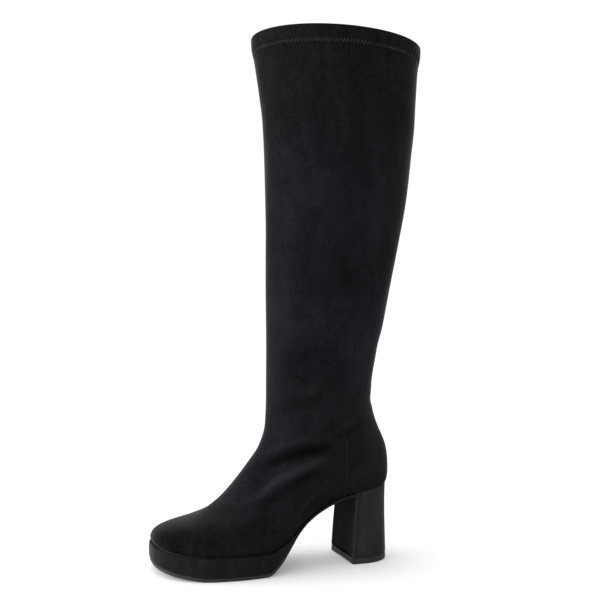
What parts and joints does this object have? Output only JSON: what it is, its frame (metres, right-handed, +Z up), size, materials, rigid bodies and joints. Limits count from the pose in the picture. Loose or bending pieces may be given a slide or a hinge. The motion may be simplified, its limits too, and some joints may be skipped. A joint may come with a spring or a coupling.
{
  "type": "knee-high boot",
  "caption": "Knee-high pull-on boot in black microsuede, with a hollow foot and shaft, a folded hem, a covered platform under the forefoot and a block heel",
  "frame": {"origin": "middle of the bounding box in plan, on the floor", "axes": "+X to the toe, +Y to the outer side of this left boot, +Z up along the shaft"},
  "size_m": [0.2602, 0.1114, 0.489],
  "materials": {
    "suede": "matt black microsuede with a soft nap",
    "lining": "matt dark textile over board",
    "sole_rubber": "smooth satin black rubber"
  },
  "bodies": {
    "root": {"upper": "suede", "insole": "lining", "platform": "suede", "outsole": "sole_rubber", "heel": "suede", "top_piece": "sole_rubber"}
  },
  "joints": []
}
